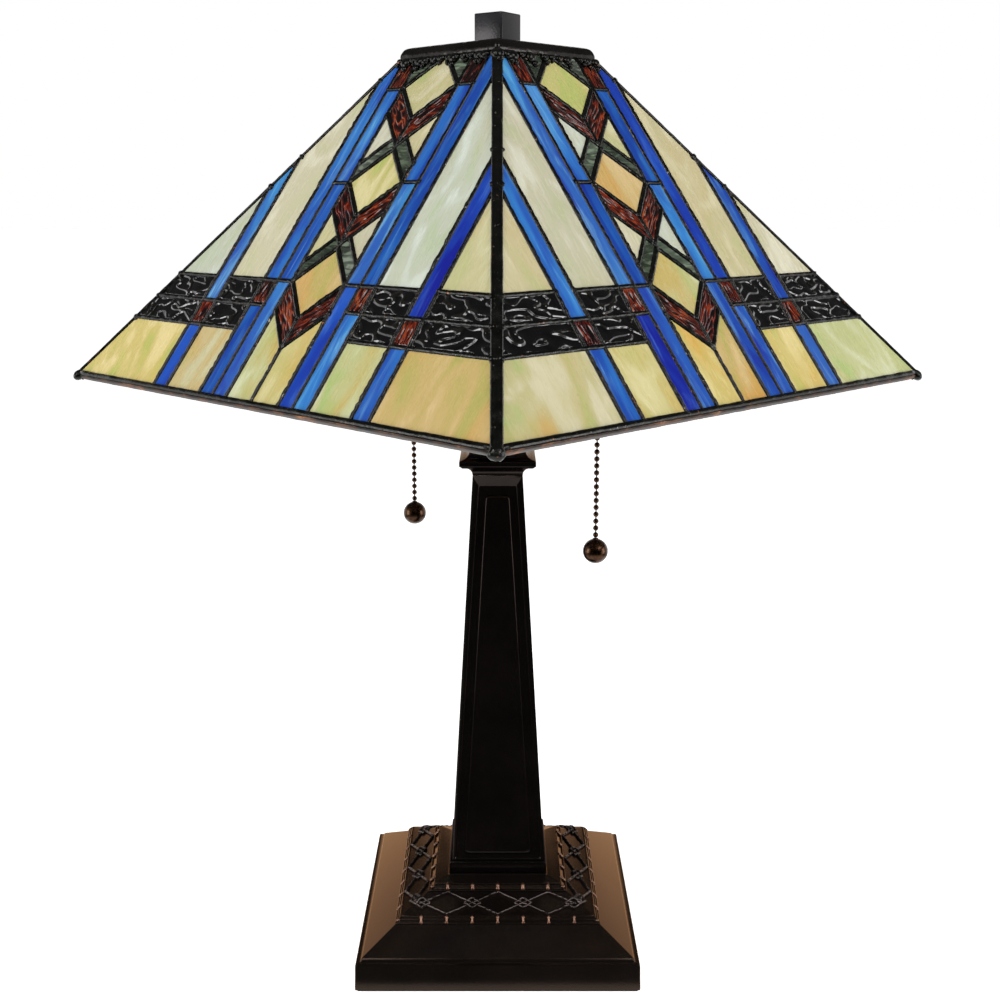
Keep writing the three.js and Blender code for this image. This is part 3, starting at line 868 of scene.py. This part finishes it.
def make_glass(side, place, pieces, panel_seed, panel_index):
    """One object for each kind of glass of a panel. Each piece takes the next tint of its kind."""
    for kind, tints in TINTS.items():
        build = Build()
        build.values = {
            "glass_flow": ("FLOAT_VECTOR", []),
            "glass_tint": ("FLOAT_COLOR", []),
            "relief": ("FLOAT", []),
        }
        picked = panel_index * sum(piece_kind == kind for piece_kind, _ in pieces)
        for index, (piece_kind, outline) in enumerate(pieces):
            if piece_kind == kind:
                seed = panel_seed + index * 1.37
                glass_piece(build, place, kind, outline, seed, tints[picked % len(tints)])
                picked += 1
        build.make(f"{kind}_glass_{side}", [f"glass_{kind}"], "shade", [f"glass_panel_{side}"])


def lead_lines():
    """The centre line of every lead of a panel as (start, end, half width)."""
    a, b, c, d, e = COLUMNS
    low_row, middle_row, high_row = ROWS

    def hip_v(u):
        return (RIM_HALF_MM - u) / TAPER

    def hip_u(v):
        return RIM_HALF_MM - v * TAPER

    top = SLANT_MM
    lines = [((a, 0), (a, top), LEAD), ((b, 0), (b, top), NARROW_LEAD)]
    lines += [((u, 0), (u, hip_v(u)), LEAD) for u in (c, d, e)]
    lines += [((c, low_row), (hip_u(low_row), low_row), LEAD)]
    lines += [((b, middle_row), (hip_u(middle_row), middle_row), LEAD)]
    lines += [((a, high_row), (d, high_row), LEAD), ((e, high_row), (hip_u(high_row), high_row), LEAD)]
    lines += [((a, v), (b, v), NARROW_LEAD) for v in DIAMONDS[1:]]
    for i, centre in enumerate(DIAMONDS):
        head, foot = centre + DIAMOND_HALF, centre - DIAMOND_HALF
        tip = foot - CHEVRON_DROP
        lines += [((0, end), (DIAMOND_HALF, centre), DIAMOND_LEAD) for end in (foot, head)]
        lines += [((0, tip), (a, tip + a), LEAD)]
        if i < len(DIAMONDS) - 1:
            eaves = head + ROOF_RISE
            cross = (eaves - (tip + DIAMOND_PITCH)) / 2
            lines += [((cross, eaves - cross), (a, eaves - a), LEAD)]
    mirrored = [((-u0, v0), (-u1, v1), half) for (u0, v0), (u1, v1), half in lines]
    feet = [centre - DIAMOND_HALF for centre in DIAMONDS]
    centre_line = [((0, 0), (0, feet[0] - CHEVRON_DROP), LEAD)]
    centre_line += [((0, foot - CHEVRON_DROP), (0, foot), LEAD) for foot in feet]
    return lines + mirrored + centre_line


def crossings(lines):
    """Where leads meet: each end of a lead that touches another one."""
    ends = []
    for start, end, _ in lines:
        for point in (start, end):
            if all(dist(point, other) > 1.5 for other in ends):
                ends.append(point)
    return ends


def make_leads(side, place, lines, panel_seed):
    """The soldered leads of a panel, a little wider than their centre cores, with a blob at each crossing."""
    spread, thickness, blob_thickness = 0.25, 2.55, 2.85
    build = Build()
    for index, (start, end, half) in enumerate(lines):
        wobble = 0.10 if half == NARROW_LEAD else 0.16
        seed = panel_seed + index * 0.61
        bar(build, place, start, end, half + spread, thickness, FACE_MIDDLE, wobble, seed, flat=0.8)
    for index, point in enumerate(crossings(lines)):
        if 2 < point[1] < SLANT_MM - 2:
            size = 2.0 + 0.45 * sin(index * 2.3 + panel_seed)
            blob(build, place, point, size, blob_thickness, FACE_MIDDLE, panel_seed + index)
    build.make(f"solder_lines_{side}", ["dark_patina"], "shade", [f"came_lattice_{side}"])


def make_rim(side, place, panel_seed):
    """The channel that holds the glass along the rim, and the copper wire let into its edge."""
    build = Build()
    reach = RIM_HALF_MM - 3.0
    # height up the slope, half width, half thickness, wobble, seed, flatness, sides and slot of each bar
    bars = (
        (0.9, 2.0, 2.9, 0.10, panel_seed, 0.6, 12, 0),
        (-1.0, 0.75, 2.4, 0.12, panel_seed + 3, 0.8, 10, 1),
    )
    for v, half, thickness, wobble, seed, flat, sides, slot in bars:
        ends = (-reach, v), (reach, v)
        bar(build, place, *ends, half, thickness, FACE_MIDDLE, wobble, seed, 4, sides, flat, slot)
    build.make(f"rim_channel_{side}", ["dark_patina", "copper_edge"], "shade", [f"rim_came_{side}"])


def make_hip(name, turn, half, seed):
    """Lead folded over the ridge, lumps where the leads meet it, and a drop of solder at the rim."""
    place = hip_place(turn)
    height = 0.4 + 0.23 * half
    build = Build()
    rings = []
    steps = 150
    for i in range(steps + 1):
        t = HIP_LENGTH_MM * i / steps
        wide = half * (1 + 0.05 * wave(t * 0.09, seed, 1))
        lift = 0.20 * wave(t * 0.16, seed, 2)
        dent = 0.16 * wave(t * 0.35, seed, 5)
        side = [(wide, -1.5), (wide * 1.02, -0.2 + lift), (wide * 0.72, height - 0.2 + dent)]
        section = [(-s, w) for s, w in side] + [(0, height + lift)] + side[::-1]
        section += [(wide * 0.6, -5.2), (-wide * 0.6, -5.2)]
        rings.append([place(s, t, w) for s, w in section])
    build.ring_surface(rings)
    ratio = HIP_LENGTH_MM / SLANT_MM
    for index, v in enumerate([*ROWS, *((RIM_HALF_MM - u) / TAPER for u in COLUMNS[3:])]):
        for sign in (-1, 1):
            blob(build, place, (sign * half * 0.75, v * ratio), 1.7, 1.1, height - 1.2, seed + index)
    knob = 3.1 + 0.35 * half
    blob(build, place, (0, 0.2), knob, 0.8 * knob, -1.4, seed + 11, sides=16, levels=9)
    build.make(f"hip_solder_{name}", ["dark_patina"], "shade", [f"hip_came_{name}"])


def make_shade():
    lines = lead_lines()
    halves = dict(HIPS.values())
    for index, (side, turn) in enumerate(PANELS.items()):
        place = panel_place(turn)
        covers = [halves[hip % 360] + HIP_OVERLAP for hip in (turn - 45, turn + 45)]
        make_glass(side, place, panel_pieces(covers), 3.0 + index * 41.7, index)
        make_leads(side, place, lines, 5.0 + index * 13.9)
        make_rim(side, place, 2.0 + index * 9.1)
    for index, (name, (turn, half)) in enumerate(HIPS.items()):
        make_hip(name, turn, half, 4.0 + index * 5.3)


FINIAL_TURN = -35.3


def make_cap():
    """Sheet metal cap with a rolled skirt, the solder run along its lower edge, and the finial."""
    low_z, top_z = span("shade_cap")
    skirt = [
        (5.7, top_z - 1.6), (33.2, top_z - 1.6), (37.4, low_z + 1.4), (37.8, low_z), (39.6, low_z - 0.1),
        (39.9, low_z + 3.0), (38.2, top_z - 1.1), (35.4, top_z), (5.7, top_z), (5.7, top_z - 1.6),
    ]
    loft = square_loft(rounded_corners(skirt, 1.8, 4), 2.4, 45, closed_ends=False)
    cap = loft.make("cap_sheet", ["cap_bronze"], "shade", ["shade_cap"], slot="dark_patina")
    finish_edges(cap, 0, 50)
    make_cap_solder()

    z0, z1 = span("finial")
    block = [(5.8, z0), (9.5, z0), (9.5, z1), (0.3, z1)]
    loft = square_loft(rounded_corners(block, 0.7, 3), 0.8, FINIAL_TURN)
    finial = loft.make("finial_block", ["finial_bronze"], "finial", ["finial"], slot="dark_bronze")
    finish_edges(finial, 0, 40)


def make_cap_solder():
    """Drips of uneven size below the cap's edge, and a larger pair on the front and back hips."""
    drips = Build()
    across, pitch, smallest = 19, 3.9, 1.7
    for index, turn in enumerate(PANELS.values()):
        place = panel_place(turn)
        for step in range(across):
            seed = index * 37 + step
            u = (step - across // 2) * pitch + 1.6 * sin(seed * 2.1)
            drop = 1.2 + 4.6 * abs(wave(seed * 0.73, 1.3, index))
            if drop < smallest:
                continue
            upper, lower = SLANT_MM - 0.2 - 0.9 * drop, SLANT_MM - 0.6 - 2.0 * drop
            lean = 1.4 * sin(seed * 3.7)
            blob(drips, place, (u, upper), drop, 0.9 + 0.5 * drop, 1.0, seed)
            blob(drips, place, (u + lean, lower), 0.55 * drop, 0.5 + 0.4 * drop, 0.8, seed + 5)
    for name in ("front", "back"):
        place = hip_place(HIPS[name][0])
        blob(drips, place, (0, HIP_LENGTH_MM - 3.4), 3.8, 2.6, 1.2, 3.0, sides=16, levels=8)
        blob(drips, place, (1.6, HIP_LENGTH_MM - 7.0), 2.2, 1.6, 1.2, 7.0)
    drips.make("cap_solder", ["dark_patina"], "shade")


# ---- stem and base

def face_place(side, foot, top):
    """One side of a square frustum between two edges, each a (half width, z) in millimetres."""
    return slope_place(90 * side - 90, foot[0] * MM, foot[1] * MM, foot[0] - top[0], top[1] - foot[1])


def tapered_loop(foot, top, start, end, corner, steps=5):
    """A trapezoid with round corners, from half widths foot and top, between heights start and end."""
    points = [(-foot, start), (foot, start), (top, end), (-top, end)]
    return rounded_corners(points, corner, steps, closed=True)


def make_column():
    """The tapered column. Each face is a chain of loops: rim, sunk frame, raised panel."""
    box_low, box_high = low("stem_column") / MM, high("stem_column") / MM
    z0, z1 = box_low.z, box_high.z
    foot, top, corner = box_high.x, 15.0, 0.05
    slope = hypot(z1 - z0, foot - top)
    # half width at the foot and at the top, gap to the foot and to the top, corner radius, height
    loops = (
        (foot, top, 0, 0, corner, 0.0),
        (27.2, 11.7, 0.5, 5.8, 0.6, 0.0),
        (26.9, 11.3, 0.9, 6.2, 0.6, -0.25),
        (26.4, 10.8, 1.4, 6.7, 0.6, -1.0),
        (21.0, 7.3, 3.6, 11.6, 3.4, -1.0),
        (20.5, 6.8, 4.1, 12.1, 3.1, -0.3),
        (20.1, 6.5, 4.5, 12.4, 2.9, -0.05),
        (18.6, 5.3, 5.8, 13.6, 2.2, 0.0),
    )
    build = Build()
    for side in range(4):
        place = face_place(side, (foot, z0), (top, z1))
        rings = []
        for low_half, high_half, low_gap, high_gap, radius, height in loops:
            loop = tapered_loop(low_half, high_half, low_gap, slope - high_gap, radius)
            rings.append([place(s, t, height) for s, t in loop])
        build.ring_surface(rings, closed_ends=False)
        start = len(build.vertices) - len(rings[-1])
        build.add_face(tuple(range(start, len(build.vertices))))
    for outer, inner, z in ((foot, 11.0, z0), (6.0, top, z1)):
        ends = [square_ring(half, z, corner, 0, 5) for half in (outer, inner)]
        build.ring_surface(ends, closed_ends=False)
    column = build.make("column_casting", ["stem_bronze"], "root", ["stem_column"])
    weld = column.modifiers.new("weld", "WELD")
    weld.merge_threshold = 0.05 * MM
    finish_edges(column, 0.45 * MM, 40)


PIPE_HOLE = 5.7


def make_stem():
    make_column()
    z0, z1 = span("stem_foot")
    half = high("stem_foot").x / MM
    outline = [(PIPE_HOLE, z0), (half, z0), (half, z1 - 1.3), (half - 0.5, z1 - 0.3), (half - 1.4, z1)]
    loft = square_loft(rounded_corners([*outline, (PIPE_HOLE, z1)], 0.6, 3), 0.7)
    finish_edges(loft.make("foot_block", ["stem_bronze"], "root", ["stem_foot"]), 0, 40)

    z0, z1 = span("stem_capital")
    slab = high("stem_capital").x / MM
    neck, reach, rise = 15.1, 6.3, 5.0
    quarter = [pi / 2 * i / 7 for i in range(8)]
    cove = [(neck + reach * (1 - cos(a)), z0 + 0.3 + rise * sin(a)) for a in quarter]
    # the slab's edge and the hollow slope above it, as (distance in from the slab's edge, height)
    above = [
        (1.0, 5.9), (0, 6.6), (0, 9.3), (0.7, 9.9), (2.6, 10.3), (4.4, 11.3), (5.6, 12.8), (6.2, 14.6),
        (8.0, 15.6),
    ]
    profile = [(PIPE_HOLE, z0), (neck, z0), *cove, *((slab - inward, z0 + up) for inward, up in above)]
    profile += [(11.0, z1 - 0.6), (9.6, z1), (PIPE_HOLE, z1)]
    capital = square_loft(profile, 0.9).make("capital_casting", ["stem_bronze"], "root", ["stem_capital"])
    finish_edges(capital, 0.3 * MM, 35)


# The sloping bands of the base that carry ornament, from edge to edge as (half width, z)
BAND_FOOT, BAND_TOP = (58.5, 35.4), (42.4, 42.9)
UPPER_FOOT, UPPER_TOP = (42.4, 42.9), (38.8, 46.5)
LOWER_FOOT, LOWER_TOP = (62.0, 31.3), (58.6, 35.6)
STUD_PITCH = 15.5


def rib(half, z, radius):
    """A half round rib on a moulding that leans back, as points of its outline."""
    turns = [radians(-50 + 180 * i / 6) for i in range(7)]
    return [(half + radius * cos(a), z + radius * sin(a)) for a in turns]


def make_base_casting():
    z0 = low("base_shell").z / MM
    outside = [
        (81.2, z0), (84.9, z0), (85.0, z0 + 0.8), (84.6, 16.9), (84.2, 17.6), (82.2, 17.7), (81.7, 18.1),
        (81.5, 19.0), (80.9, 19.9), (80.2, 20.5), (62.8, 30.9),
        *rib(61.6, 32.0, 0.75), *rib(60.4, 33.6, 0.65), *rib(59.0, 35.1, 0.65), (58.0, 35.6), (43.6, 42.3),
        *rib(42.3, 43.0, 0.6), (41.2, 43.5), (39.9, 44.9), *rib(39.0, 45.8, 0.6), (37.8, 46.5), (31.6, 47.3),
        (30.9, 47.6), (30.6, 48.2), (PIPE_HOLE, 48.2),
    ]
    inside = [(PIPE_HOLE, 43.6), (34, 43.6), (36, 42.4), (55, 32.8), (58, 29.2), (77, 17.6), (81, 15)]
    loft = square_loft([*outside, *inside, outside[0]], 0.8, closed_ends=False)
    finish_edges(loft.make("base_casting", ["dark_bronze"], "root", ["base_shell"]), 0, 32)


def rope(build, place, start, end, half_width, half_height, depth, wobble, seed, step=1.1):
    bar(build, place, start, end, half_width, half_height, depth, wobble, seed, step, 8)


def link(build, place, s, t, half_s, half_t, seed):
    """A small four sided loop of rope."""
    ring = [(s - half_s, t), (s, t - half_t), (s + half_s, t), (s, t + half_t)]
    for p, q in edges_of(ring):
        rope(build, place, p, q, 0.85, 1.15, 0.45, 0.3, seed, 1.0)


def diamond_ropes(build, band, centre, slope, reach, seed):
    """Four ropes from a diamond's upper and lower tips that cross the next diamond's ropes beside it."""
    middle = slope / 2
    for across in (-1, 1):
        for up in (-1, 1):
            tip = Vector((centre, middle + up * (middle - 0.9)))
            cross = Vector((centre + across * STUD_PITCH, middle))
            beyond = cross + (cross - tip).normalized() * 1.6
            if abs(beyond.x) > reach:
                beyond = cross
            rope(build, band, tip, beyond, 0.95, 1.2, 0.2, 0.34, seed + up)


def make_base_ornament():
    """Cast relief on the four sides: crossed ropes that make diamonds, links, studs and beads."""
    ropes, studs = Build(), Build()
    slope = hypot(BAND_FOOT[0] - BAND_TOP[0], BAND_TOP[1] - BAND_FOOT[1])
    reach = (BAND_FOOT[0] + BAND_TOP[0]) / 2 - 0.6
    for side in range(4):
        band = face_place(side, BAND_FOOT, BAND_TOP)
        for index in (-1, 0, 1):
            diamond_ropes(ropes, band, index * 2 * STUD_PITCH, slope, reach, side + index)
        for index in (-1.5, -0.5, 0.5, 1.5):
            link(ropes, band, index * 2 * STUD_PITCH, slope / 2, 4.9, 3.7, side * 3 + index)
        upper = face_place(side, UPPER_FOOT, UPPER_TOP)
        for index in range(-2, 3):
            s = index * STUD_PITCH
            bar(studs, upper, (s, 0.8), (s, 4.3), 1.2, 1.05, 0.2, 0.1, side + index, 0.8)
        lower = face_place(side, LOWER_FOOT, LOWER_TOP)
        for index in range(-3, 4):
            s = index * STUD_PITCH
            for t in (1.2, 4.2):
                blob(studs, lower, (s, t), 1.2, 0.9, 0.5, side * 7 + index)
            rope(studs, lower, (s, 0.6), (s, 5.2), 0.75, 1.0, 0.4, 0.1, side + index, 0.8)
        for s, t, place in ((60.4, 2.6, lower), (-60.4, 2.6, lower), (40.6, 2.8, upper), (-40.6, 2.8, upper)):
            blob(studs, place, (s, t), 1.2, 0.9, -0.1, side + s)
    ropes.make("base_rope_relief", ["worn_bronze"], "root", slot="dark_bronze")
    studs.make("base_stud_relief", ["copper_rub"], "root", slot="dark_bronze")


# ---- chains, sockets and bulbs

SOCKET_SIDES = ("left", "right")
BEAD_PITCH = 4.0 * MM


def middle_of(node):
    corners = low(node), high(node)
    return (corners[0] + corners[1]) / 2


def make_chain(side):
    """Number 6 bead chain: round beads on a fine wire, as long as its CAD solid."""
    node = f"pull_chain_{side}"
    axis = middle_of(node)
    bottom, top = low(node).z, high(node).z
    bead, wire, levels, sides = 1.6 * MM, 0.38 * MM, 10, 12
    count = int((top - bottom) / BEAD_PITCH)
    pitch = (top - bottom) / count
    build = Build()
    for index in range(count):
        z = bottom + pitch * (index + 0.5)
        rings = []
        for level in range(levels + 1):
            tilt = -pi / 2 + pi * (0.06 + 0.88 * level / levels)
            reach = max(wire, bead * cos(tilt))
            height = z + bead * sin(tilt)
            turns = around(sides)
            rings.append([(axis.x + reach * cos(a), axis.y + reach * sin(a), height) for a in turns])
        if index:
            build.ring_surface([last_ring, rings[0]], closed_ends=False)
        build.ring_surface(rings, closed_ends=index in (0, count - 1))
        last_ring = rings[-1]
    chain = build.make(f"bead_chain_{side}", ["chain_bronze"], f"chain_{side}", [node])
    ball = make_pull_ball(side)


def make_pull_ball(side):
    """A ball with a short collar where the chain goes in."""
    node = f"pull_ball_{side}"
    centre = middle_of(node)
    radius = (high(node).z - low(node).z) / 2 / MM
    curve = [pi * i / 28 for i in range(26)]
    profile = [(radius * sin(a), centre.z / MM - radius * cos(a)) for a in curve]
    neck = centre.z / MM + radius
    profile += [(1.7, neck - 0.35), (1.75, neck + 0.1), (1.2, neck + 0.5), (0.4, neck + 0.6)]
    ball = lathe(profile, (centre.x, centre.y), 40)
    return ball.make(f"chain_ball_{side}", ["chain_bronze"], f"chain_{side}", [node])


def socket_profiles():
    """Smooth outlines of the turned socket parts, in millimetres from the socket's axis and in height."""
    cap = [
        (4.5, 371.5), (8, 371.5), (8.6, 372.4), (9.4, 374), (12, 375), (14.5, 376.5), (16, 378.6),
        (16.5, 381), (16.5, 386), (16.9, 386.6), (16.9, 387.6), (16.5, 388.2), (16.5, 390), (15.4, 390),
        (15.4, 381), (13.6, 378), (4.5, 376), (4.5, 371.5),
    ]
    shell = [
        (16.3, 390.3), (17.0, 390.3), (17.0, 408), (17.2, 409), (17.0, 410), (17.0, 424), (17.5, 425),
        (17.0, 426), (17.1, 431), (17.3, 432), (16.5, 432), (16.3, 431), (16.3, 390.3),
    ]
    bulb = [
        (12.5, 429.3), (12.8, 433), (13.4, 438), (15.4, 443.5), (18, 448), (20.8, 452.8), (22.8, 458),
        (23.8, 463.5), (24, 469), (23.4, 475), (22, 480), (19.6, 485), (16.5, 489), (12.5, 492), (8, 493.8),
        (3, 494.6), (0.2, 494.7),
    ]
    thread_foot, thread_pitch = 406.5, 3.6
    heights = [thread_foot + 0.6 * i for i in range(30)]
    thread = [(13.2 + 0.55 * cos(2 * pi * (z - thread_foot) / thread_pitch), z) for z in heights]
    base = [(0.2, 400.2), (3.5, 400.2), (4.5, 401.6), (9.5, 404), (12.6, 405.8), *thread]
    base += [(13.0, 425.5), (13.5, 429), (0.2, 429)]
    return cap, shell, bulb, base


def make_sockets():
    cap, shell, bulb, base = socket_profiles()
    for side in SOCKET_SIDES:
        axis = middle_of(f"socket_shell_{side}")
        pieces = (
            ("cap_brass", cap, "brass", "root", "socket_cap"),
            ("shell_brass", shell, "brass", "root", "socket_shell"),
            ("bulb_envelope", bulb, "bulb_white", f"bulb_{side}", "bulb_glass"),
            ("bulb_screw", base, "steel", f"bulb_{side}", "bulb_base"),
        )
        for name, profile, material, body, node in pieces:
            turned = lathe(profile, (axis.x, axis.y))
            finish_edges(turned.make(f"{name}_{side}", [material], body, [f"{node}_{side}"]), 0, 35)


def finish_cad_nodes():
    """Gives every CAD node that still shows the procedural material of its slot."""
    slots = {row["node"]: row["material_slot"] for row in frame["record"]["subparts"]}
    for name, node in frame["nodes"].items():
        if node.hide_render:
            continue
        material = MATERIALS[slots[name]]
        if node.material_slots:
            for place in node.material_slots:
                place.link = "OBJECT"
                place.material = material
        else:
            node.data.materials.append(material)


add_camera()
for chain_side in SOCKET_SIDES:
    make_chain(chain_side)
add_studio()
make_shade()
make_cap()
make_stem()
make_base_casting()
make_base_ornament()
make_sockets()
finish_cad_nodes()
